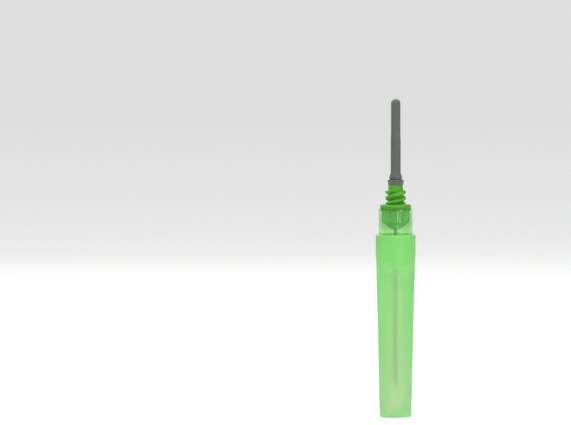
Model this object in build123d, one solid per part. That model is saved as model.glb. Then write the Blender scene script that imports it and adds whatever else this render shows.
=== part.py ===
from build123d import *
import os
from math import radians, sqrt, tan

# Double-ended blood collection needle standing on the closed end of its shield.
# Millimetres, +Z up along the tube, origin at the centre of the shield's base.

# Steel tube: 21 gauge, ground to a point at both ends
tube_od = 0.82
tube_bore = 0.51
front_length = 38.1           # front point to the hub's nose
rear_length = 15.45           # top of the nipple to the rear point
front_bevel = 2.8             # length of the slanted grind
rear_bevel = 1.7
lancet_share = 0.6            # side grinds against the main one
lancet_turn = 35              # degrees round the tube

# Room inside the shield, from its base up
floor_thickness = 1.65
tip_gap = 4.55                # inside floor to the front point

# Hub, below the flange
nose_height = 1.65            # blunt cone under the plug
plug_depth = 3.05             # part that fills the shield's socket
plug_od = 6.74                # over the ribs, beside the flange
plug_draft = 3.2              # degrees a side
rib_count = 8
rib_width = 0.45
rib_height = 0.1
socket_clearance = 0.04       # radial, ribs to socket

# Hub, flange and threaded stem
flange_thickness = 1.1
flange_overlap = 0.24         # reach past the edge of the socket
flange_round = 0.38           # upper edge
flange_underside_edge = 0.16
ring_gap = 0.12               # radial, thread crests to the flat ring on the flange
cone_rise = 0.2               # low cone inside that ring, up to the stem
stem_height = 4.6             # flange to the seat of the rubber sleeve
boss_height = 0.85            # plain length under the sleeve
boss_od = 3.46
thread_root = 3.52
thread_depth = 0.67           # radial
thread_pitch = 1.46           # from crest to crest along the stem
thread_starts = 2
thread_crest = 0.24           # width of the flat crest
thread_flank = 31             # degrees from square to the stem
thread_first_crest = 1.5      # height over the flange, at the side
thread_run_out = 0.85

# Hub, nipple inside the sleeve
nipple_height = 2.4
neck_od = 2.3
barb_od = 2.8
barb_height = 0.75            # seat to the square underside of the barb
nipple_tip_od = 1.8

# Bond of tube and hub
glue_gap = 0.02               # radial, tube in the hub's bore
well_gap = 0.27               # radial, tube to the wall of the glue well
well_depth = 0.8
nose_wall = 0.37              # radial, round the mouth of the well
meniscus = 0.3

# Rubber sleeve
sleeve_clearance = 0.11       # radial, rubber round the tube
sleeve_wall = 0.66            # lower part, down to the flare
sleeve_tip_wall = 0.59        # upper part and dome
sleeve_gap = 1.2              # rear point to the end of the bore
sleeve_end = 1.2              # rubber over the end of the bore
swell_length = 2.2            # cone between the two parts
swell_drop = 8.0              # top of the sleeve to that cone
nipple_clearance = 0.02       # radial and axial, rubber round the nipple
skirt_wall = 0.15             # over the barb, above the groove
cuff_wall = 0.5               # over the barb, below the groove
cuff_height = 1.22            # seat to the groove
cuff_draft = 0.15             # radial, how much narrower the cuff is at its seat
groove_width = 0.16
groove_depth = 0.12           # radial, from the skirt
skirt_height = 0.6            # groove to the foot of the flare
flare_height = 0.75

# Shield
collar_wall = 0.52
collar_length = 6.05
rim_edge = 0.12               # taken off at the mouth
band_step = 0.76              # radial, collar to band
band_length = 4.9
band_edge = 0.12              # taken off at the shoulder
body_step = 0.14              # radial, band to body
step_slope = 1.65             # height of the slope under the band
base_od = 7.5
base_round = 0.5
base_wall = 0.8
ledge = 0.16                  # height of the slope from socket to bore
floor_edge = 0.3              # slope round the inside floor
gate_od = 1.6                 # moulding gate in the base
gate_depth = 0.25

# Heights along the axis
front_point_z = floor_thickness + tip_gap
nose_z = front_point_z + front_length
plug_z = nose_z + nose_height
rim_z = plug_z + plug_depth
flange_z = rim_z + flange_thickness
seat_z = flange_z + stem_height
nipple_z = seat_z + nipple_height
rear_point_z = nipple_z + rear_length
sleeve_bore_z = rear_point_z + sleeve_gap
top_z = sleeve_bore_z + sleeve_end
shoulder_z = rim_z - collar_length
band_z = shoulder_z - band_length
body_z = band_z - step_slope

# Radii that fit one another
tube_r = tube_od / 2
plug_r = plug_od / 2
plug_tip_r = plug_r - plug_depth * tan(radians(plug_draft))
socket_r = plug_r + socket_clearance
flange_r = socket_r + flange_overlap
collar_r = socket_r + collar_wall
band_r = collar_r + band_step
body_r = band_r - body_step
base_r = base_od / 2
well_r = tube_r + well_gap
nose_r = well_r + nose_wall
barb_r = barb_od / 2
root_r = thread_root / 2


def turned(*points):
    """A solid of revolution about Z from its half section of (radius, height) points."""
    outline = Polyline(*[(r, 0, z) for r, z in points], close=True)
    return revolve(make_face(outline), Axis.Z)


def eased(radius, z, size, wall_side):
    """Corner of a face at z and a wall at radius, rounded by two flats: its points, face to wall."""
    inset = size * (1 - sqrt(0.5))
    return [(radius - size, z), (radius - inset, z + wall_side * inset), (radius, z + wall_side * size)]


def shield():
    """Moulded shield: a drafted cup with a band, and a reduced collar round its mouth."""
    bore_r = base_r - base_wall
    return turned(
        (0, gate_depth),
        (gate_od / 2, gate_depth),
        (gate_od / 2, 0),
        *eased(base_r, 0, base_round, 1),
        (body_r, body_z),
        (band_r, band_z),
        (band_r, shoulder_z - band_edge),
        (band_r - band_edge, shoulder_z),
        (collar_r, shoulder_z),
        (collar_r, rim_z - rim_edge),
        (collar_r - rim_edge, rim_z),
        (socket_r, rim_z),
        (socket_r, shoulder_z),
        (bore_r, shoulder_z - ledge),
        (bore_r, floor_thickness + floor_edge),
        (bore_r - floor_edge, floor_thickness),
        (0, floor_thickness),
    )


def plug_ribs():
    """Shallow ribs along the plug, which centre it in the socket."""
    envelope = turned((0, plug_z), (plug_tip_r, plug_z), (plug_r, rim_z), (0, rim_z))
    blade = Box(plug_r, rib_width, plug_depth, align=(Align.MIN, Align.CENTER, Align.MIN))
    blades = [Rot(0, 0, 360 / rib_count * (k + 0.5)) * Pos(0, 0, plug_z) * blade for k in range(rib_count)]
    return envelope & (Part() + blades)


def thread_ridges():
    """Right-hand ridges that rise out of the flange and run out below the boss."""
    half_foot = thread_crest / 2 + thread_depth * tan(radians(thread_flank))
    lead = thread_pitch * thread_starts
    start_z = flange_z - half_foot
    end_z = seat_z - boss_height
    start_turn = 180 + 360 * (start_z - flange_z - thread_first_crest) / lead
    helix = Helix(lead, end_z - start_z, root_r)
    sunk = 0.2 * root_r
    sunk_foot = half_foot + sunk * tan(radians(thread_flank))
    profile = Polyline(
        (-sunk, -sunk_foot),
        (thread_depth, -thread_crest / 2),
        (thread_depth, thread_crest / 2),
        (-sunk, sunk_foot),
        close=True,
    )
    section = Plane(origin=helix @ 0, x_dir=(1, 0, 0), z_dir=helix % 0) * make_face(profile)
    ridge = sweep(section, path=helix, is_frenet=True)
    clear = 0.1 * thread_depth
    crest_r = root_r + thread_depth + clear
    envelope = turned(
        (0, start_z - 2 * sunk_foot),
        (crest_r, start_z - 2 * sunk_foot),
        (crest_r, end_z - thread_run_out),
        (root_r - clear, end_z),
        (0, end_z),
    )
    ridges = [
        Rot(0, 0, start_turn + 360 / thread_starts * k) * Pos(0, 0, start_z) * ridge
        for k in range(thread_starts)
    ]
    return [envelope & one for one in ridges]


def hub():
    """Moulded hub: plug, flange, threaded stem and barbed nipple round one bore."""
    bore_r = tube_r + glue_gap
    thread_end_z = seat_z - boss_height
    body = turned(
        (0, nose_z),
        (nose_r, nose_z),
        (plug_tip_r - rib_height, plug_z),
        (plug_r - rib_height, rim_z),
        (flange_r - flange_underside_edge, rim_z),
        (flange_r, rim_z + flange_underside_edge),
        *reversed(eased(flange_r, flange_z, flange_round, -1)),
        (root_r + thread_depth + ring_gap, flange_z),
        (root_r, flange_z + cone_rise),
        (root_r, thread_end_z),
        (boss_od / 2, thread_end_z + (thread_root - boss_od) / 2),
        (boss_od / 2, seat_z),
        (neck_od / 2, seat_z),
        (neck_od / 2, seat_z + barb_height),
        (barb_r, seat_z + barb_height),
        (nipple_tip_od / 2, nipple_z),
        (0, nipple_z),
    )
    body += thread_ridges()
    body += plug_ribs()
    well = turned(
        (0, nose_z),
        (well_r, nose_z),
        (bore_r, nose_z + well_depth),
        (bore_r, nipple_z),
        (0, nipple_z),
    )
    return body - well


def ground_point(tube, z, bevel, up):
    """Grinds the tube's end to a lancet point on its +X side, at z."""
    tip = (tube_r, 0, z)
    for length, turn in ((bevel, 0), (bevel * lancet_share, lancet_turn), (bevel * lancet_share, -lancet_turn)):
        keep = Vector(length, 0, up * tube_od).rotate(Axis.Z, turn)
        tube = split(tube, bisect_by=Plane(origin=tip, z_dir=keep), keep=Keep.TOP)
    return tube


def cannula():
    """One steel tube, pointed at both ends, with its front bevel open towards -X."""
    length = rear_point_z - front_point_z
    tube = Pos(0, 0, front_point_z) * (
        Cylinder(tube_r, length, align=(Align.CENTER, Align.CENTER, Align.MIN))
        - Cylinder(tube_bore / 2, length, align=(Align.CENTER, Align.CENTER, Align.MIN))
    )
    tube = ground_point(tube, front_point_z, front_bevel, 1)
    return ground_point(tube, rear_point_z, rear_bevel, -1)


def bond():
    """Glue in the well of the hub's nose, drawn out to a meniscus along the tube."""
    return turned(
        (tube_r, nose_z - meniscus),
        (well_r, nose_z),
        (tube_r + glue_gap, nose_z + well_depth),
        (tube_r, nose_z + well_depth),
    )


def sleeve():
    """Rubber sleeve: domed tube with a flared skirt, a groove and a cuff that grips the nipple."""
    bore_r = tube_r + sleeve_clearance
    foot_r = bore_r + sleeve_wall
    tip_r = bore_r + sleeve_tip_wall
    skirt_r = barb_r + skirt_wall
    cuff_r = barb_r + cuff_wall
    groove_z = seat_z + cuff_height
    skirt_z = groove_z + groove_width + skirt_height
    flare_z = skirt_z + flare_height
    swell_z = top_z - swell_drop
    dome_z = top_z - tip_r
    outline = [
        Polyline(
            (cuff_r - cuff_draft, seat_z),
            *reversed(eased(cuff_r, groove_z, cuff_r - skirt_r, -1)),
            (skirt_r - groove_depth, groove_z),
            (skirt_r - groove_depth, groove_z + groove_width),
            (skirt_r, groove_z + groove_width),
            (skirt_r, skirt_z),
            (foot_r, flare_z),
            (foot_r, swell_z - swell_length),
            (tip_r, swell_z),
            (tip_r, dome_z),
        ),
        CenterArc((0, dome_z), tip_r, 0, 90),
    ]
    gap = nipple_clearance
    cavity = [
        (0, sleeve_bore_z),
        (bore_r, sleeve_bore_z),
        (bore_r, flare_z),
        (nipple_tip_od / 2 + gap, nipple_z + gap),
        (barb_r + gap, seat_z + barb_height - gap),
        (neck_od / 2 + gap, seat_z + barb_height - gap),
        (neck_od / 2 + gap, seat_z),
        (cuff_r - cuff_draft, seat_z),
    ]
    wires = outline + [Line((0, top_z), cavity[0]), Polyline(*cavity)]
    return revolve(Plane.XZ * make_face(wires), Axis.Z)


pieces = {
    "needle_shield": shield(),
    "threaded_hub": hub(),
    "cannula": cannula(),
    "glue_bond": bond(),
    "rubber_sleeve": sleeve(),
}

os.makedirs("parts", exist_ok=True)
for name, solid in pieces.items():
    export_step(solid, f"parts/{name}.step")
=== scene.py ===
import bpy
import bmesh
from math import ceil, cos, degrees, pi, radians, sin, tan
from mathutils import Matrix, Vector


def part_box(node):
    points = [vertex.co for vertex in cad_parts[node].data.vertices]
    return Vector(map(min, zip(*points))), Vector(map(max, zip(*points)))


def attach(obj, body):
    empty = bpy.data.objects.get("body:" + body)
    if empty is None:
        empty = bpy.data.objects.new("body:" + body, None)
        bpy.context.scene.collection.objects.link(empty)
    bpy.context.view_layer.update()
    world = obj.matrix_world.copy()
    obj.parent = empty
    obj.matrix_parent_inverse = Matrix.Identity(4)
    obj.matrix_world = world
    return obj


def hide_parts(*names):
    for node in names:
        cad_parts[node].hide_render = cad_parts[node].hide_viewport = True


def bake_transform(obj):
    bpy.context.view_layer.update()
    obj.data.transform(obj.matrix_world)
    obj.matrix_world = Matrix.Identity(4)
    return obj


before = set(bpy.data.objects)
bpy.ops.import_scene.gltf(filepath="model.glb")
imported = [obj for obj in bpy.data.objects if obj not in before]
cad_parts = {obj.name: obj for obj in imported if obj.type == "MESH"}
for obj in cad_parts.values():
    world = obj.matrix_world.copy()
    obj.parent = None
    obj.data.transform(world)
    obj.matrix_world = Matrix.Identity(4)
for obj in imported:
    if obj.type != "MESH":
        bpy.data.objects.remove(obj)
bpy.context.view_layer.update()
mm = 0.001


def nodeSpan(node):
    lo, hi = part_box(node)
    return {"low": lo[2] / mm, "high": hi[2] / mm, "radius": (hi[0] - lo[0]) / 2 / mm}  # millimetres


shieldSpan = nodeSpan("needle_shield")
hubSpan = nodeSpan("threaded_hub")
tubeSpan = nodeSpan("cannula")
glueSpan = nodeSpan("glue_bond")
sleeveSpan = nodeSpan("rubber_sleeve")

# outlines are lists of (radius, height) in millimetres, turned about Z


def roundCorners(corners, stepAngle=9):
    # corners are (radius, height, rounding); each rounding becomes a short arc of points
    outline = []
    for k, (r, z, rounding) in enumerate(corners):
        here = Vector((r, z))
        if not rounding or k in (0, len(corners) - 1):
            outline.append(here)
            continue
        before = (Vector(corners[k - 1][:2]) - here).normalized()
        after = (Vector(corners[k + 1][:2]) - here).normalized()
        halfAngle = before.angle(after) / 2
        reach = rounding / tan(halfAngle)
        start, end = here + before * reach, here + after * reach
        centre = here + (before + after).normalized() * (rounding / sin(halfAngle))
        turn = pi - 2 * halfAngle
        steps = max(2, ceil(degrees(turn) / stepAngle))
        first, last = start - centre, end - centre
        for i in range(steps + 1):
            share = i / steps
            swept = (first * sin((1 - share) * turn) + last * sin(share * turn)) / sin(turn)
            outline.append(centre + swept)
    return outline


def addRows(outline, longest):
    # long straight stretches get rows, so that they bend and shade evenly
    finer = [outline[0]]
    for a, b in zip(outline, outline[1:]):
        count = max(1, ceil((b - a).length / longest))
        finer += [a.lerp(b, (i + 1) / count) for i in range(count)]
    return finer


def circle(radius, count):
    return [(radius * cos(2 * pi * k / count), radius * sin(2 * pi * k / count)) for k in range(count)]


def bridge(bm, low, high):
    # faces between two rings; a ring of one point is a pole, and two poles need no faces
    count = max(len(low), len(high))
    if count == 1:
        return
    for k in range(count):
        n = (k + 1) % count
        if len(low) == 1:
            bm.faces.new((low[0], high[n], high[k]))
        elif len(high) == 1:
            bm.faces.new((low[k], low[n], high[0]))
        else:
            bm.faces.new((low[k], low[n], high[n], high[k]))


def finishMesh(name, bm):
    mesh = bpy.data.meshes.new(name)
    bm.to_mesh(mesh)
    bm.free()
    mesh.shade_smooth()
    piece = bpy.data.objects.new(name, mesh)
    bpy.context.scene.collection.objects.link(piece)
    return piece


def closeRings(name, bm, pairs, sharpAngle):
    # rings become a shell whose faces point outwards
    for low, high in pairs:
        bridge(bm, low, high)
    bmesh.ops.recalc_face_normals(bm, faces=bm.faces)
    piece = finishMesh(name, bm)
    piece.data.set_sharp_from_angle(angle=radians(sharpAngle))
    return piece


def turnOutline(name, outline, segments, closed=False, sharpAngle=38):
    bm = bmesh.new()
    rings = []
    for r, z in outline:
        places = circle(r * mm, segments) if r else [(0, 0)]
        rings.append([bm.verts.new((x, y, z * mm)) for x, y in places])
    ends = rings[1:] + rings[:1] if closed else rings[1:]
    return closeRings(name, bm, zip(rings, ends), sharpAngle)


# materials, with noise stretches per metre and bump depths in metres


def startMaterial(name):
    material = bpy.data.materials.new(name)
    material.use_nodes = True
    tree = material.node_tree
    tree.nodes.clear()
    output = tree.nodes.new("ShaderNodeOutputMaterial")
    shader = tree.nodes.new("ShaderNodeBsdfPrincipled")
    tree.links.new(shader.outputs["BSDF"], output.inputs["Surface"])
    return material, tree, shader, output


def setSockets(shader, values):
    for name, value in values.items():
        shader.inputs[name].default_value = value


def objectNoise(tree, stretch, detail=3, roughness=0.55):
    place = tree.nodes.new("ShaderNodeTexCoord")
    mapping = tree.nodes.new("ShaderNodeMapping")
    mapping.inputs["Scale"].default_value = stretch
    noise = tree.nodes.new("ShaderNodeTexNoise")
    setSockets(noise, {"Scale": 1, "Detail": detail, "Roughness": roughness})
    tree.links.new(place.outputs["Object"], mapping.inputs["Vector"])
    tree.links.new(mapping.outputs["Vector"], noise.inputs["Vector"])
    return noise.outputs["Fac"]


def objectPlace(tree, axis):
    place = tree.nodes.new("ShaderNodeTexCoord")
    split = tree.nodes.new("ShaderNodeSeparateXYZ")
    tree.links.new(place.outputs["Object"], split.inputs["Vector"])
    return split.outputs[axis]


def spread(tree, source, low, high, fromLow=0.35, fromHigh=0.65):
    # noise stays mostly between 0.35 and 0.65
    node = tree.nodes.new("ShaderNodeMapRange")
    setSockets(node, {"From Min": fromLow, "From Max": fromHigh, "To Min": low, "To Max": high})
    tree.links.new(source, node.inputs["Value"])
    return node.outputs["Result"]


def mixColours(tree, factor, first, second):
    node = tree.nodes.new("ShaderNodeMix")
    node.data_type = "RGBA"
    tree.links.new(factor, node.inputs["Factor"])
    for socket, colour in (("A", first), ("B", second)):
        target = [s for s in node.inputs if s.name == socket and s.type == "RGBA"][0]
        if isinstance(colour, bpy.types.NodeSocket):
            tree.links.new(colour, target)
        else:
            target.default_value = (*colour, 1)
    return [s for s in node.outputs if s.type == "RGBA"][0]


def calculate(tree, operation, *inputs):
    node = tree.nodes.new("ShaderNodeMath")
    node.operation = operation
    for socket, value in zip(node.inputs, inputs):
        if isinstance(value, bpy.types.NodeSocket):
            tree.links.new(value, socket)
        else:
            socket.default_value = value
    return node.outputs["Value"]


def addBump(tree, shader, height, depth):
    bump = tree.nodes.new("ShaderNodeBump")
    setSockets(bump, {"Distance": depth, "Strength": 1})
    tree.links.new(height, bump.inputs["Height"])
    tree.links.new(bump.outputs["Normal"], shader.inputs["Normal"])


def sRgb(r, g, b):
    # screen colour, 0 to 255, to the linear values that the sockets take
    return tuple((c / 255 / 12.92) if c < 10.3 else ((c / 255 + 0.055) / 1.055) ** 2.4 for c in (r, g, b))


def mixWithClear(tree, shader, output, factor, tint=(1, 1, 1)):
    clear = tree.nodes.new("ShaderNodeBsdfTransparent")
    clear.inputs["Color"].default_value = (*tint, 1)
    mix = tree.nodes.new("ShaderNodeMixShader")
    tree.links.new(factor, mix.inputs["Fac"])
    tree.links.new(shader.outputs["BSDF"], mix.inputs[1])
    tree.links.new(clear.outputs["BSDF"], mix.inputs[2])
    tree.links.new(mix.outputs["Shader"], output.inputs["Surface"])


def letLampsThrough(tree, shader, output, tint):
    # lamps reach what is inside: shadow rays pass with the plastic's tint
    path = tree.nodes.new("ShaderNodeLightPath")
    mixWithClear(tree, shader, output, path.outputs["Is Shadow Ray"], tint)


# stops give the height in millimetres, the colour and the clearness, from the closed end to the shoulder
shieldFinish = {
    "stops": [
        (1.65, sRgb(243, 220, 222), 0.65),  # the solid floor looks milky
        (2.15, sRgb(243, 221, 222), 0.85),
        (5.0, sRgb(243, 232, 220), 0.85),
        (33.5, sRgb(247, 238, 219), 0.85),
        (37.0, sRgb(172, 236, 147), 0.4),  # the band's thicker wall is greener, and it is also painted darker green and less clear, painted shade, so that it hides the tube
    ],
    "drift": 0.6,  # how far the stops wander up and down, millimetres
    "driftStretch": (260, 260, 90),
    "collar": sRgb(214, 236, 195),
    "tint": sRgb(230, 243, 224),
    "bodyRoughness": 0.4,
    "polishRoughness": 0.09,
    "polishClearness": 0.93,
    "polishEdge": (0.05, 0.15),  # over the shoulder, millimetres
    "grainShare": 0.05,
    "grainStretch": (900, 900, 260),
    "ior": 1.49,
    "absorbed": (0.05, 0.98, 0.16),
    "density": 370,
}


def heightRamp(tree, height, stops):
    # colour and clearness follow the height through the listed stops
    foot, top = stops[0][0] * mm, stops[-1][0] * mm
    node = tree.nodes.new("ShaderNodeValToRGB")
    ramp = node.color_ramp
    while len(ramp.elements) < len(stops):
        ramp.elements.new(0.5)
    for element, (place, colour, clearness) in zip(ramp.elements, stops):
        element.position = (place * mm - foot) / (top - foot)
        element.color = (*colour, clearness)
    tree.links.new(spread(tree, height, 0, 1, foot, top), node.inputs["Fac"])
    return node.outputs["Color"], node.outputs["Alpha"]


def shieldPlastic():
    look = shieldFinish
    material, tree, shader, output = startMaterial("frostedGreenPlastic")
    height = objectPlace(tree, "Z")
    drift = spread(tree, objectNoise(tree, look["driftStretch"]), -look["drift"] * mm, look["drift"] * mm)
    colour, clearness = heightRamp(tree, calculate(tree, "ADD", height, drift), look["stops"])
    # frosted below the shoulder; the collar comes polished from the mould
    shoulder = shieldSpan["high"] - shieldSizes["collarLength"]
    edge = [(shoulder + rise) * mm for rise in look["polishEdge"]]
    polished = spread(tree, height, 0, 1, *edge)
    tree.links.new(mixColours(tree, polished, colour, look["collar"]), shader.inputs["Base Color"])
    frosted = calculate(tree, "SUBTRACT", 1.0, polished)
    body = calculate(tree, "MULTIPLY", clearness, frosted)
    collar = calculate(tree, "MULTIPLY", polished, look["polishClearness"])
    tree.links.new(calculate(tree, "ADD", body, collar), shader.inputs["Transmission Weight"])
    uneven = look["grainShare"]
    grain = spread(tree, objectNoise(tree, look["grainStretch"]), 1 - uneven, 1 + uneven)
    rough = spread(tree, polished, look["bodyRoughness"], look["polishRoughness"], 0, 1)
    tree.links.new(calculate(tree, "MULTIPLY", rough, grain), shader.inputs["Roughness"])
    setSockets(shader, {"IOR": look["ior"]})
    inside = tree.nodes.new("ShaderNodeVolumeAbsorption")
    setSockets(inside, {"Color": (*look["absorbed"], 1), "Density": look["density"]})
    tree.links.new(inside.outputs["Volume"], output.inputs["Volume"])
    letLampsThrough(tree, shader, output, look["tint"])
    return material


hubFinish = {
    "body": sRgb(88, 176, 46),
    "deep": sRgb(80, 166, 40),
    # painted light: the paler green painted on the cone towards its nose
    "nose": sRgb(112, 205, 76),
    "cloudStretch": (700, 700, 700),
    "roughness": (0.33, 0.44),
    "satinStretch": (4200, 4200, 4200),
    "bumpStretch": (7000, 7000, 7000),
    "bumpDepth": 0.0000015,
    "sockets": {
        "IOR": 1.49,
        "Specular IOR Level": 0.35,
        "Subsurface Weight": 0.12,
        "Subsurface Scale": 0.0004,
        "Subsurface Radius": (0.5, 1.0, 0.3),
    },
}


def hubPlastic():
    look = hubFinish
    material, tree, shader, output = startMaterial("leafGreenPlastic")
    cloud = spread(tree, objectNoise(tree, look["cloudStretch"]), 0, 1)
    colour = mixColours(tree, cloud, look["body"], look["deep"])
    # painted light: the down-facing cone is painted paler towards its nose, standing in for the light
    # that reaches it
    cone = (hubSpan["low"] * mm, (hubSpan["low"] + hubSizes["coneHeight"]) * mm)
    paintedConeLight = spread(tree, objectPlace(tree, "Z"), 1, 0, *cone)
    tree.links.new(mixColours(tree, paintedConeLight, colour, look["nose"]), shader.inputs["Base Color"])
    satin = spread(tree, objectNoise(tree, look["satinStretch"], detail=2), *look["roughness"])
    tree.links.new(satin, shader.inputs["Roughness"])
    setSockets(shader, look["sockets"])
    grain = objectNoise(tree, look["bumpStretch"], detail=2)
    addBump(tree, shader, grain, look["bumpDepth"])
    return material


rubberFinish = {
    "body": sRgb(96, 103, 95),
    "dusty": sRgb(103, 109, 102),
    "dustRange": (0.4, 0.75),
    "cloudStretch": (900, 900, 260),
    "roughness": (0.34, 0.48),
    "dragStretch": (2400, 2400, 120),
    "grainStretch": (8000, 8000, 8000),
    "bumpDepth": 0.000002,
    "sockets": {"IOR": 1.5, "Specular IOR Level": 0.4, "Sheen Weight": 0.08, "Sheen Roughness": 0.5},
}


def sleeveRubber():
    look = rubberFinish
    material, tree, shader, output = startMaterial("greyRubber")
    cloud = objectNoise(tree, look["cloudStretch"], detail=4, roughness=0.6)
    dust = spread(tree, cloud, 0, 1, *look["dustRange"])
    tree.links.new(mixColours(tree, dust, look["body"], look["dusty"]), shader.inputs["Base Color"])
    tree.links.new(spread(tree, cloud, *look["roughness"]), shader.inputs["Roughness"])
    setSockets(shader, look["sockets"])
    drag = objectNoise(tree, look["dragStretch"])
    grain = objectNoise(tree, look["grainStretch"], detail=2)
    addBump(tree, shader, calculate(tree, "ADD", drag, grain), look["bumpDepth"])
    return material


steelFinish = {
    "body": sRgb(178, 180, 183),
    "worn": sRgb(165, 167, 171),
    "lineStretch": (9000, 9000, 220),
    "roughness": (0.19, 0.34),
    "bumpDepth": 0.000001,
}


def tubeSteel():
    look = steelFinish
    material, tree, shader, output = startMaterial("drawnSteel")
    lines = objectNoise(tree, look["lineStretch"], detail=2)
    colour = mixColours(tree, spread(tree, lines, 0, 1), look["body"], look["worn"])
    tree.links.new(colour, shader.inputs["Base Color"])
    tree.links.new(spread(tree, lines, *look["roughness"]), shader.inputs["Roughness"])
    setSockets(shader, {"Metallic": 1.0})
    addBump(tree, shader, lines, look["bumpDepth"])
    return material


glueFinish = {
    "clear": sRgb(236, 230, 200),
    "straw": sRgb(226, 216, 178),
    "cloudStretch": (2500, 2500, 2500),
    "roughness": (0.08, 0.18),
    "sockets": {"Transmission Weight": 0.7, "IOR": 1.5},
}


def clearGlue():
    look = glueFinish
    material, tree, shader, output = startMaterial("clearGlue")
    cloud = objectNoise(tree, look["cloudStretch"])
    colour = mixColours(tree, spread(tree, cloud, 0, 1), look["clear"], look["straw"])
    tree.links.new(colour, shader.inputs["Base Color"])
    tree.links.new(spread(tree, cloud, *look["roughness"]), shader.inputs["Roughness"])
    setSockets(shader, look["sockets"])
    letLampsThrough(tree, shader, output, look["clear"])
    return material


# shield: one moulding, frosted below the shoulder and polished round the collar

shieldSizes = {
    "collarRadius": 3.93,
    "collarLength": 6.05,
    "bandLength": 4.9,
    "bodyRadius": 4.55,
    "slopeHeight": 1.65,
    "slopeRound": 1.5,
    "shoulderRound": 0.15,
    "shoulderFillet": 0.1,
    "rimRound": 0.12,
    "baseRadius": 3.75,
    "baseRound": 0.5,
    "socketRadius": 3.41,
    "socketEdge": 0.05,
    "ledge": 0.16,
    "ledgeEdge": (0.06, 0.1),  # upper and lower
    "boreRadius": 2.95,
    "floorHeight": 1.65,
    "floorRound": 0.5,
    "gateRadius": 0.8,
    "gateDepth": 0.25,
    "gateEdge": (0.08, 0.06),  # inner and outer
    "row": 2,
    "segments": 128,
}


def makeShield():
    size = shieldSizes
    rim = shieldSpan["high"]
    shoulder = rim - size["collarLength"]
    band = shoulder - size["bandLength"]
    corners = [
        (0, size["gateDepth"], 0),
        (size["gateRadius"], size["gateDepth"], size["gateEdge"][0]),
        (size["gateRadius"], 0, size["gateEdge"][1]),
        (size["baseRadius"], 0, size["baseRound"]),
        (size["bodyRadius"], band - size["slopeHeight"], size["slopeRound"]),
        (shieldSpan["radius"], band, size["slopeRound"]),
        (shieldSpan["radius"], shoulder, size["shoulderRound"]),
        (size["collarRadius"], shoulder, size["shoulderFillet"]),
        (size["collarRadius"], rim, size["rimRound"]),
        (size["socketRadius"], rim, size["socketEdge"]),
        (size["socketRadius"], shoulder, size["ledgeEdge"][0]),
        (size["boreRadius"], shoulder - size["ledge"], size["ledgeEdge"][1]),
        (size["boreRadius"], size["floorHeight"], size["floorRound"]),
        (0, size["floorHeight"], 0),
    ]
    outline = addRows(roundCorners(corners), size["row"])
    piece = turnOutline("shieldShell", outline, size["segments"])
    piece.data.materials.append(shieldPlastic())
    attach(piece, "shield")
    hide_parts("needle_shield")
    print("shield made")


# hub: turned outline, pushed out into a two-start thread by a rule, with ribs set round its plug

hubSizes = {
    "noseRadius": 1.05,
    "noseEdge": 0.08,
    "coneFoot": 3.1,
    "coneHeight": 1.65,
    "coneEdge": 0.12,
    "coreTop": 3.27,
    "plugDepth": 3.05,
    "flangeThickness": 1.1,
    "flangeTopRound": 0.38,
    "flangeUnderRound": 0.24,
    "flangeSlopeRadius": 2.55,
    "flangeSlopeRound": 0.15,
    "flangeSlopeRise": 0.2,
    "stemFillet": 0.12,
    "stemFoot": 0.35,
    "rootRadius": 1.76,
    "crestRise": 0.67,
    "crestSpacing": 1.46,
    "starts": 2,
    "firstCrest": 1.5,
    "ridgeFoot": 0.66,  # half the width of a ridge where it leaves the stem
    "ridgeFillet": 0.12,
    "crestCut": 0.66,  # share of the ridge's wedge that is left under the flat crest
    "crestBlend": 0.3,
    "crestFull": 0.655,  # share of the wedge that stands for the whole rise
    "fadeDepth": 1.5,
    "fadeLead": 0.1,
    "fadeTail": 0.3,
    "stemShare": 0.94,  # what lies inside this share of the root isn't pushed out
    "threadTop": 3.2,
    "bossRadius": 1.73,
    "bossHeight": 0.85,
    "bossStep": 0.08,
    "neckRadius": 1.15,
    "barbRadius": 1.4,
    "barbHeight": 0.75,
    "nippleTip": 0.9,
    "nippleRound": 0.1,
    "boreRadius": 0.43,
    "wellRadius": 0.68,
    "wellDepth": 0.8,
    "edge": 0.05,
    "ribs": 8,
    "ribWidth": 0.45,
    "ribHeight": 0.1,
    "ribLift": 0.02,  # over the cone
    "ribSink": 0.05,  # into the flange
    "ribSides": 20,
    "row": 0.6,
    "footRow": 0.04,
    "stemRow": 0.03,
    "segments": 160,
}


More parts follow.
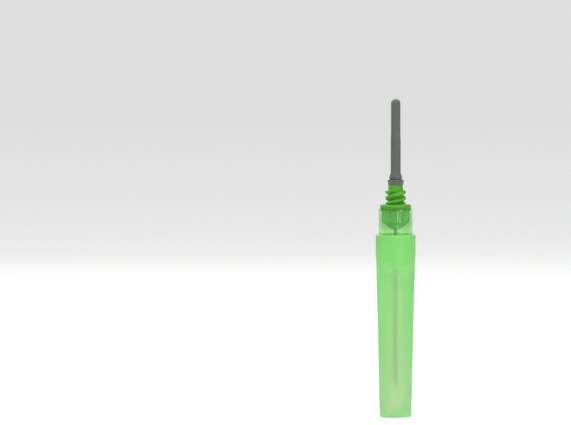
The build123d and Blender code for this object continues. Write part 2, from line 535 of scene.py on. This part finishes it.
def threadTree(material):
    tree = bpy.data.node_groups.new("threadAndRibs", "GeometryNodeTree")
    panel = tree.interface
    panel.new_socket("Geometry", in_out="INPUT", socket_type="NodeSocketGeometry")
    sizes = [
        "Root Radius", "Crest Rise", "Crest Spacing", "Starts", "Crest Height", "Half Foot", "Fillet",
        "Crest Cut", "Crest Blend", "Crest Full", "Fade Start", "Fade End", "Fade Depth", "Stem Share",
        "Rib Width", "Rib Height", "Rib Foot Radius", "Rib Foot Z", "Rib Top Radius", "Rib Top Z",
    ]
    for name in sizes:
        panel.new_socket(name, in_out="INPUT", socket_type="NodeSocketFloat")
    for name in ("Ribs", "Rib Sides"):
        panel.new_socket(name, in_out="INPUT", socket_type="NodeSocketInt")
    panel.new_socket("Geometry", in_out="OUTPUT", socket_type="NodeSocketGeometry")
    start = tree.nodes.new("NodeGroupInput")
    end = tree.nodes.new("NodeGroupOutput")
    given = start.outputs

    def work(operation, *inputs):
        return calculate(tree, operation, *inputs)

    def combine(**parts):
        node = tree.nodes.new("ShaderNodeCombineXYZ")
        for axis, part in parts.items():
            tree.links.new(part, node.inputs[axis])
        return node

    place = tree.nodes.new("GeometryNodeInputPosition")
    split = tree.nodes.new("ShaderNodeSeparateXYZ")
    tree.links.new(place.outputs["Position"], split.inputs["Vector"])
    x, y, z = split.outputs
    radius = work("SQRT", work("ADD", work("MULTIPLY", x, x), work("MULTIPLY", y, y)))
    turn = work("DIVIDE", work("ARCTAN2", y, x), 2 * pi)
    # crests pass the sides at the same heights, because two ridges climb two spacings in a turn
    along = work("DIVIDE", work("SUBTRACT", z, given["Crest Height"]), given["Crest Spacing"])
    phase = work("SUBTRACT", along, work("MULTIPLY", turn, given["Starts"]))
    away = work("ABSOLUTE", work("SUBTRACT", phase, work("ROUND", phase)))
    distance = work("MULTIPLY", away, given["Crest Spacing"])
    wedge = work("SUBTRACT", 1.0, work("DIVIDE", distance, given["Half Foot"]))
    crest = work("SMOOTH_MIN", wedge, given["Crest Cut"], given["Crest Blend"])
    fade = tree.nodes.new("ShaderNodeMapRange")
    fade.interpolation_type = "SMOOTHSTEP"
    setSockets(fade, {"To Min": 0.0, "To Max": 1.0})
    tree.links.new(z, fade.inputs["Value"])
    tree.links.new(given["Fade Start"], fade.inputs["From Min"])
    tree.links.new(given["Fade End"], fade.inputs["From Max"])
    sunk = work("MULTIPLY", fade.outputs["Result"], given["Fade Depth"])
    slope = work("DIVIDE", given["Crest Rise"], given["Crest Full"])
    rise = work("MULTIPLY", slope, work("SUBTRACT", crest, sunk))
    ridge = work("ADD", given["Root Radius"], rise)
    pushed = work("SMOOTH_MAX", radius, ridge, given["Fillet"])
    outside = work("GREATER_THAN", radius, work("MULTIPLY", given["Root Radius"], given["Stem Share"]))
    onStem = work("MULTIPLY", outside, work("GREATER_THAN", z, given["Rib Top Z"]))
    stretch = work("SUBTRACT", work("DIVIDE", pushed, radius), 1.0)
    scale = work("ADD", 1.0, work("MULTIPLY", onStem, stretch))
    moved = combine(X=work("MULTIPLY", x, scale), Y=work("MULTIPLY", y, scale), Z=z)
    move = tree.nodes.new("GeometryNodeSetPosition")
    tree.links.new(start.outputs["Geometry"], move.inputs["Geometry"])
    tree.links.new(moved.outputs["Vector"], move.inputs["Position"])

    # one rib is an oval bar along the plug; it is set round Z once for each rib
    foot = combine(X=given["Rib Foot Radius"], Z=given["Rib Foot Z"])
    top = combine(X=given["Rib Top Radius"], Z=given["Rib Top Z"])
    line = tree.nodes.new("GeometryNodeCurvePrimitiveLine")
    tree.links.new(foot.outputs["Vector"], line.inputs["Start"])
    tree.links.new(top.outputs["Vector"], line.inputs["End"])
    oval = tree.nodes.new("GeometryNodeCurvePrimitiveCircle")
    oval.inputs["Radius"].default_value = 1
    tree.links.new(given["Rib Sides"], oval.inputs["Resolution"])
    shape = combine(X=given["Rib Height"], Y=work("MULTIPLY", given["Rib Width"], 0.5))
    shape.inputs["Z"].default_value = 1
    flatten = tree.nodes.new("GeometryNodeTransform")
    tree.links.new(oval.outputs["Curve"], flatten.inputs["Geometry"])
    tree.links.new(shape.outputs["Vector"], flatten.inputs["Scale"])
    bar = tree.nodes.new("GeometryNodeCurveToMesh")
    bar.inputs["Fill Caps"].default_value = True
    tree.links.new(line.outputs["Curve"], bar.inputs["Curve"])
    tree.links.new(flatten.outputs["Geometry"], bar.inputs["Profile Curve"])
    spots = tree.nodes.new("GeometryNodeMeshLine")
    spots.inputs["Offset"].default_value = (0, 0, 0)
    tree.links.new(given["Ribs"], spots.inputs["Count"])
    index = tree.nodes.new("GeometryNodeInputIndex")
    step = work("DIVIDE", work("ADD", index.outputs["Index"], 0.5), given["Ribs"])
    spin = combine(Z=work("MULTIPLY", step, 2 * pi))
    around = tree.nodes.new("GeometryNodeInstanceOnPoints")
    tree.links.new(spots.outputs["Mesh"], around.inputs["Points"])
    tree.links.new(bar.outputs["Mesh"], around.inputs["Instance"])
    tree.links.new(spin.outputs["Vector"], around.inputs["Rotation"])

    both = tree.nodes.new("GeometryNodeJoinGeometry")
    tree.links.new(around.outputs["Instances"], both.inputs["Geometry"])
    tree.links.new(move.outputs["Geometry"], both.inputs["Geometry"])
    whole = tree.nodes.new("GeometryNodeRealizeInstances")
    paint = tree.nodes.new("GeometryNodeSetMaterial")
    paint.inputs["Material"].default_value = material
    tree.links.new(both.outputs["Geometry"], whole.inputs["Geometry"])
    tree.links.new(whole.outputs["Geometry"], paint.inputs["Geometry"])
    tree.links.new(paint.outputs["Geometry"], end.inputs["Geometry"])
    return tree


def applyTree(piece, tree, values):
    modifier = piece.modifiers.new(tree.name, "NODES")
    modifier.node_group = tree
    sockets = {item.name: item.identifier for item in tree.interface.items_tree if item.in_out == "INPUT"}
    for name, value in values.items():
        modifier[sockets[name]] = value
    bpy.context.view_layer.update()
    depsgraph = bpy.context.evaluated_depsgraph_get()
    finished = bpy.data.meshes.new_from_object(piece.evaluated_get(depsgraph))
    piece.modifiers.clear()
    piece.data = finished


def makeHub():
    size = hubSizes
    edge = size["edge"]
    nose = hubSpan["low"]
    cone = nose + size["coneHeight"]
    rim = cone + size["plugDepth"]
    flange = rim + size["flangeThickness"]
    stemFoot = flange + size["stemFoot"]
    seat = sleeveSpan["low"]
    tip = hubSpan["high"]
    bossFoot = seat - size["bossHeight"]
    stem = [Vector((size["rootRadius"], stemFoot)), Vector((size["rootRadius"], bossFoot))]
    below = roundCorners([
        (size["boreRadius"], nose + size["wellDepth"], 0),
        (size["wellRadius"], nose, edge),
        (size["noseRadius"], nose, size["noseEdge"]),
        (size["coneFoot"], cone, size["coneEdge"]),
        (size["coreTop"], rim, edge),
        (hubSpan["radius"], rim, size["flangeUnderRound"]),
        (hubSpan["radius"], flange, size["flangeTopRound"]),
        (size["flangeSlopeRadius"], flange, size["flangeSlopeRound"]),
        (size["rootRadius"], flange + size["flangeSlopeRise"], size["stemFillet"]),
        (size["rootRadius"], stemFoot, 0),
    ])
    above = roundCorners([
        (size["rootRadius"], bossFoot, 0),
        (size["bossRadius"], bossFoot + size["bossStep"], edge),
        (size["bossRadius"], seat, edge),
        (size["neckRadius"], seat, edge),
        (size["neckRadius"], seat + size["barbHeight"], edge),
        (size["barbRadius"], seat + size["barbHeight"], edge),
        (size["nippleTip"], tip, size["nippleRound"]),
        (size["boreRadius"], tip, 0),
    ])
    # the stem and its foot get fine rows, because the thread is pushed out of them
    outline = addRows(below[:-3], size["row"]) + addRows(below[-3:-1], size["footRow"])[1:]
    outline += addRows(stem, size["stemRow"]) + addRows(above[1:], size["row"])
    outline = addRows(outline, size["row"])
    piece = turnOutline("hubMoulding", outline, size["segments"], closed=True, sharpAngle=60)
    values = {
        "Root Radius": size["rootRadius"] * mm,
        "Crest Rise": size["crestRise"] * mm,
        "Crest Spacing": size["crestSpacing"] * mm,
        "Starts": float(size["starts"]),
        "Crest Height": (flange + size["firstCrest"]) * mm,
        "Half Foot": size["ridgeFoot"] * mm,
        "Fillet": size["ridgeFillet"] * mm,
        "Crest Cut": size["crestCut"],
        "Crest Blend": size["crestBlend"],
        "Crest Full": size["crestFull"],
        "Fade Start": (flange + size["threadTop"] - size["fadeLead"]) * mm,
        "Fade End": (bossFoot + size["fadeTail"]) * mm,
        "Fade Depth": size["fadeDepth"],
        "Stem Share": size["stemShare"],
        "Rib Width": size["ribWidth"] * mm,
        "Rib Height": size["ribHeight"] * mm,
        "Rib Foot Radius": size["coneFoot"] * mm,
        "Rib Foot Z": (cone + size["ribLift"]) * mm,
        "Rib Top Radius": size["coreTop"] * mm,
        "Rib Top Z": (rim + size["ribSink"]) * mm,
        "Ribs": size["ribs"],
        "Rib Sides": size["ribSides"],
    }
    applyTree(piece, threadTree(hubPlastic()), values)
    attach(piece, "needle")
    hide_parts("threaded_hub")
    print("hub made")


# tube: drawn steel with a lancet point at both ends

tubeSizes = {
    "boreRadius": 0.255,
    "frontGrind": 2.8,
    "rearGrind": 1.7,
    "sideShare": 0.6,
    "sideTurn": 35,
    "plainGap": 0.5,  # from a grind to the first plain ring
    "rows": 24,
    "sharpAngle": 25,
    "segments": 64,
}


def grindHeight(x, y, radius, grind):
    # height of the ground face over the point, as the highest of three planes
    size = tubeSizes
    side = grind * size["sideShare"]
    heights = []
    for length, turn in ((grind, 0), (side, size["sideTurn"]), (side, -size["sideTurn"])):
        a = radians(turn)
        heights.append(length * ((radius - x) * cos(a) - y * sin(a)) / (2 * radius))
    return max(heights)


def makeTube():
    size = tubeSizes
    radius = tubeSpan["radius"]
    low, high = tubeSpan["low"], tubeSpan["high"]
    bm = bmesh.new()

    def ring(r, height):
        places = circle(r, size["segments"])
        return [bm.verts.new((x * mm, y * mm, height(x, y) * mm)) for x, y in places]

    def level(z):
        return lambda x, y: z

    def front(x, y):
        return low + grindHeight(x, y, radius, size["frontGrind"])

    def rear(x, y):
        return high - grindHeight(x, y, radius, size["rearGrind"])

    inner, middle = size["boreRadius"], (size["boreRadius"] + radius) / 2
    startZ = low + size["frontGrind"] + size["plainGap"]
    endZ = high - size["rearGrind"] - size["plainGap"]
    rows = size["rows"]
    rings = [ring(middle, front), ring(radius, front)]
    rings += [ring(radius, level(startZ + (endZ - startZ) * i / rows)) for i in range(rows + 1)]
    rings += [ring(radius, rear), ring(middle, rear), ring(inner, rear)]
    rings += [ring(inner, level(endZ)), ring(inner, level(startZ)), ring(inner, front)]
    piece = closeRings("steelTube", bm, zip(rings, rings[1:] + rings[:1]), size["sharpAngle"])
    piece.data.materials.append(tubeSteel())
    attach(piece, "needle")
    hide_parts("cannula")
    print("tube made")


# glue: fills the well at the hub's nose and creeps a little down the tube

glueSizes = {"steps": 10, "segments": 64}


def makeGlue():
    size = glueSizes
    hub = hubSizes
    nose = hubSpan["low"]
    top = nose + hub["wellDepth"]
    tube = tubeSpan["radius"]
    well = glueSpan["radius"]
    creep = nose - glueSpan["low"]
    outline = []
    for i in range(size["steps"] + 1):
        a = 0.5 * pi * i / size["steps"]
        outline.append(Vector((tube + (well - tube) * (1 - cos(a)), nose - creep * (1 - sin(a)))))
    outline += [Vector((hub["boreRadius"], top)), Vector((tube, top))]
    piece = turnOutline("glueFill", outline, size["segments"], closed=True, sharpAngle=50)
    piece.data.materials.append(clearGlue())
    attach(piece, "needle")
    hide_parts("glue_bond")
    print("glue made")


# sleeve: rubber tube with a domed tip, a flared skirt, a groove and a cuff

sleeveSizes = {
    "boreRadius": 0.52,
    "boreRound": 0.25,
    "lowerRadius": 1.18,
    "upperRadius": 1.11,
    "swellDrop": 8.0,
    "swellLength": 2.2,
    "swellRound": 12,
    "tipThickness": 1.2,
    "skirtRadius": 1.55,
    "skirtTaper": 0.05,
    "skirtHeight": 0.47,
    "skirtEdge": 0.05,
    "skirtRound": 0.35,
    "flareHeight": 1.0,
    "flareRound": 0.6,
    "cuffTaper": 0.15,
    "cuffHeight": 1.22,
    "cuffEdge": 0.08,
    "cuffSwell": (0.34, 0.5),  # drop below the groove, and rounding
    "cuffLipRound": 0.2,
    "grooveWidth": 0.2,
    "grooveDepth": 0.2,
    "grooveEdge": 0.02,
    "nippleGap": 0.02,
    "blendGap": 0.2,  # a gap from the flare upwards
    "domeSteps": 16,
    "row": 0.25,
    "segments": 112,
}


def makeSleeve():
    size = sleeveSizes
    hub = hubSizes
    gap = size["nippleGap"]
    seat, top, cuff = sleeveSpan["low"], sleeveSpan["high"], sleeveSpan["radius"]
    groove = seat + size["cuffHeight"]
    grooveTop = groove + size["grooveWidth"]
    grooveFloor = size["skirtRadius"] - size["grooveDepth"]
    skirt = grooveTop + size["skirtHeight"]
    flare = skirt + size["flareHeight"]
    swell = top - size["swellDrop"]
    dome = top - size["upperRadius"]
    barb = seat + hub["barbHeight"] - gap
    boreEnd = top - size["tipThickness"]
    outside = roundCorners([
        (hub["neckRadius"] + gap, seat, 0),
        (cuff - size["cuffTaper"], seat, size["cuffEdge"]),
        (cuff, groove - size["cuffSwell"][0], size["cuffSwell"][1]),
        (cuff, groove, size["cuffLipRound"]),
        (grooveFloor, groove, size["grooveEdge"]),
        (grooveFloor, grooveTop, size["grooveEdge"]),
        (size["skirtRadius"], grooveTop, size["skirtEdge"]),
        (size["skirtRadius"] - size["skirtTaper"], skirt, size["skirtRound"]),
        (size["lowerRadius"], flare, size["flareRound"]),
        (size["lowerRadius"], swell - size["swellLength"], size["swellRound"]),
        (size["upperRadius"], swell, size["swellRound"]),
        (size["upperRadius"], dome, 0),
    ])
    outside = addRows(outside, size["row"])
    for i in range(1, size["domeSteps"]):
        a = 0.5 * pi * i / size["domeSteps"]
        outside.append(Vector((size["upperRadius"] * cos(a), dome + size["upperRadius"] * sin(a))))
    outside.append(Vector((0, top)))
    inside = roundCorners([
        (0, boreEnd, 0),
        (size["boreRadius"], boreEnd, size["boreRound"]),
        (size["boreRadius"], flare, 0),
        (hub["nippleTip"] + gap, hubSpan["high"] + gap, 0),
        (hub["barbRadius"] + gap, barb, 0),
        (hub["neckRadius"] + gap, barb, 0),
    ])
    outline = outside + addRows(inside, size["row"])
    piece = turnOutline("sleeveMoulding", outline, size["segments"], closed=True, sharpAngle=55)
    piece.data.materials.append(sleeveRubber())
    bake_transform(piece)
    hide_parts("rubber_sleeve")
    print("sleeve made")


# stage, lamps and camera, in metres

stageSizes = {
    "width": 8.0,
    "front": -4.0,
    "back": 3.0,
    "height": 3.0,
    "bend": 0.8,
    "bendSteps": 12,
    "gap": 0.00002,
    "colour": sRgb(236, 238, 235),
    "sockets": {"Roughness": 0.9, "Specular IOR Level": 0.1, "Emission Color": (1, 1, 1, 1)},
    "nearGlow": 0.47,
    "farGlow": 0.555,
    "glossShare": 0.5,
    "fadeStart": 0.0,
    "fadeEnd": 1.2,
}


def straightSight(tree):
    # 1 for rays from the camera and through clear plastic
    path = tree.nodes.new("ShaderNodeLightPath")
    return calculate(tree, "MAXIMUM", path.outputs["Is Camera Ray"], path.outputs["Is Transmission Ray"])


def palePaper():
    size = stageSizes
    material, tree, shader, output = startMaterial("palePaper")
    setSockets(shader, {"Base Color": (*size["colour"], 1), **size["sockets"]})
    # the paper looks white to the camera and in gloss and clear plastic, but lights the object no more
    path = tree.nodes.new("ShaderNodeLightPath")
    gloss = calculate(tree, "MULTIPLY", path.outputs["Is Glossy Ray"], size["glossShare"])
    seen = calculate(tree, "MAXIMUM", straightSight(tree), gloss)
    depth = objectPlace(tree, "Y")
    glow = spread(tree, depth, size["nearGlow"], size["farGlow"], size["fadeStart"], size["fadeEnd"])
    tree.links.new(calculate(tree, "MULTIPLY", seen, glow), shader.inputs["Emission Strength"])
    # from behind the paper can be looked through, so that the closed end can be seen from below
    side = tree.nodes.new("ShaderNodeNewGeometry")
    mixWithClear(tree, shader, output, side.outputs["Backfacing"])
    return material


def makeStage():
    size = stageSizes
    path = [(size["front"], 0)]
    for i in range(size["bendSteps"] + 1):
        a = 0.5 * pi * i / size["bendSteps"]
        path.append((size["back"] - size["bend"] + size["bend"] * sin(a), size["bend"] * (1 - cos(a))))
    path.append((size["back"], size["height"]))
    half = size["width"] / 2
    # faces look up and to the front
    bm = bmesh.new()
    rows = [[bm.verts.new((x, y, z - size["gap"])) for x in (-half, half)] for y, z in path]
    for a, b in zip(rows, rows[1:]):
        bm.faces.new((a[0], a[1], b[1], b[0]))
    sweep = finishMesh("studioSweep", bm)
    sweep.data.materials.append(palePaper())
    print("stage made")


# share is how much of its own colour a surface shows by that lamp alone, where it faces the lamp
lampPlan = {
    "overheadLeft": {"place": (-0.34, -0.17, 0.62), "size": (0.3, 0.3), "share": 0.55},
    "overheadRight": {"place": (0.32, -0.18, 0.62), "size": (0.26, 0.26), "share": 0.46},
    "rightStrip": {"place": (0.156, -0.58, 0.12), "size": (0.05, 0.5), "share": 0.13},
    "farStrip": {"place": (0.327, -0.503, 0.12), "size": (0.05, 0.5), "share": 0.09},
    "backFill": {"place": (-0.12, 0.42, 0.34), "size": (0.3, 0.3), "share": 0.2},
}
lampAim = (0, 0, 0.045)
worldShare = 0.2


def makeLamps():
    target = Vector(lampAim)
    for name, plan in lampPlan.items():
        light = bpy.data.lights.new(name, "AREA")
        light.shape = "RECTANGLE"
        light.size, light.size_y = plan["size"]
        place = Vector(plan["place"])
        # the power at which a surface facing the lamp shows this share of its colour
        light.energy = plan["share"] * pi * pi * (place - target).length_squared
        lamp = bpy.data.objects.new(name, light)
        lamp.location = place
        lamp.rotation_euler = (target - place).to_track_quat("-Z", "Y").to_euler()
        bpy.context.scene.collection.objects.link(lamp)
    world = bpy.data.worlds.new("softRoom")
    bpy.context.scene.world = world
    world.use_nodes = True
    background = world.node_tree.nodes["Background"]
    background.inputs["Color"].default_value = (1, 1, 1, 1)
    strength = spread(world.node_tree, straightSight(world.node_tree), worldShare, 1, 0, 1)
    world.node_tree.links.new(strength, background.inputs["Strength"])
    print("lamps made")


cameraPlan = {
    "distance": 1.5,
    "elevation": 3.0,
    "aim": (-0.02591, 0, 0.0482),
    "frameWidth": 0.13435,
    "sensor": 36,
    "clip": (0.01, 20),
}


def makeCamera():
    plan = cameraPlan
    aim = Vector(plan["aim"])
    e = radians(plan["elevation"])
    data = bpy.data.cameras.new("photoCamera")
    camera = bpy.data.objects.new("photoCamera", data)
    camera.location = Vector((0, -plan["distance"] * cos(e), aim.z + plan["distance"] * sin(e)))
    reach = (aim - camera.location).length
    data.sensor_width = plan["sensor"]
    data.lens = plan["sensor"] * reach / plan["frameWidth"]
    data.clip_start, data.clip_end = plan["clip"]
    camera.rotation_euler = (aim - camera.location).to_track_quat("-Z", "Y").to_euler()
    bpy.context.scene.collection.objects.link(camera)
    bpy.context.scene.camera = camera
    bpy.context.scene.view_settings.view_transform = "Standard"
    print("camera made")


makeStage()
makeLamps()
makeCamera()
makeShield()
makeHub()
makeTube()
makeGlue()
makeSleeve()
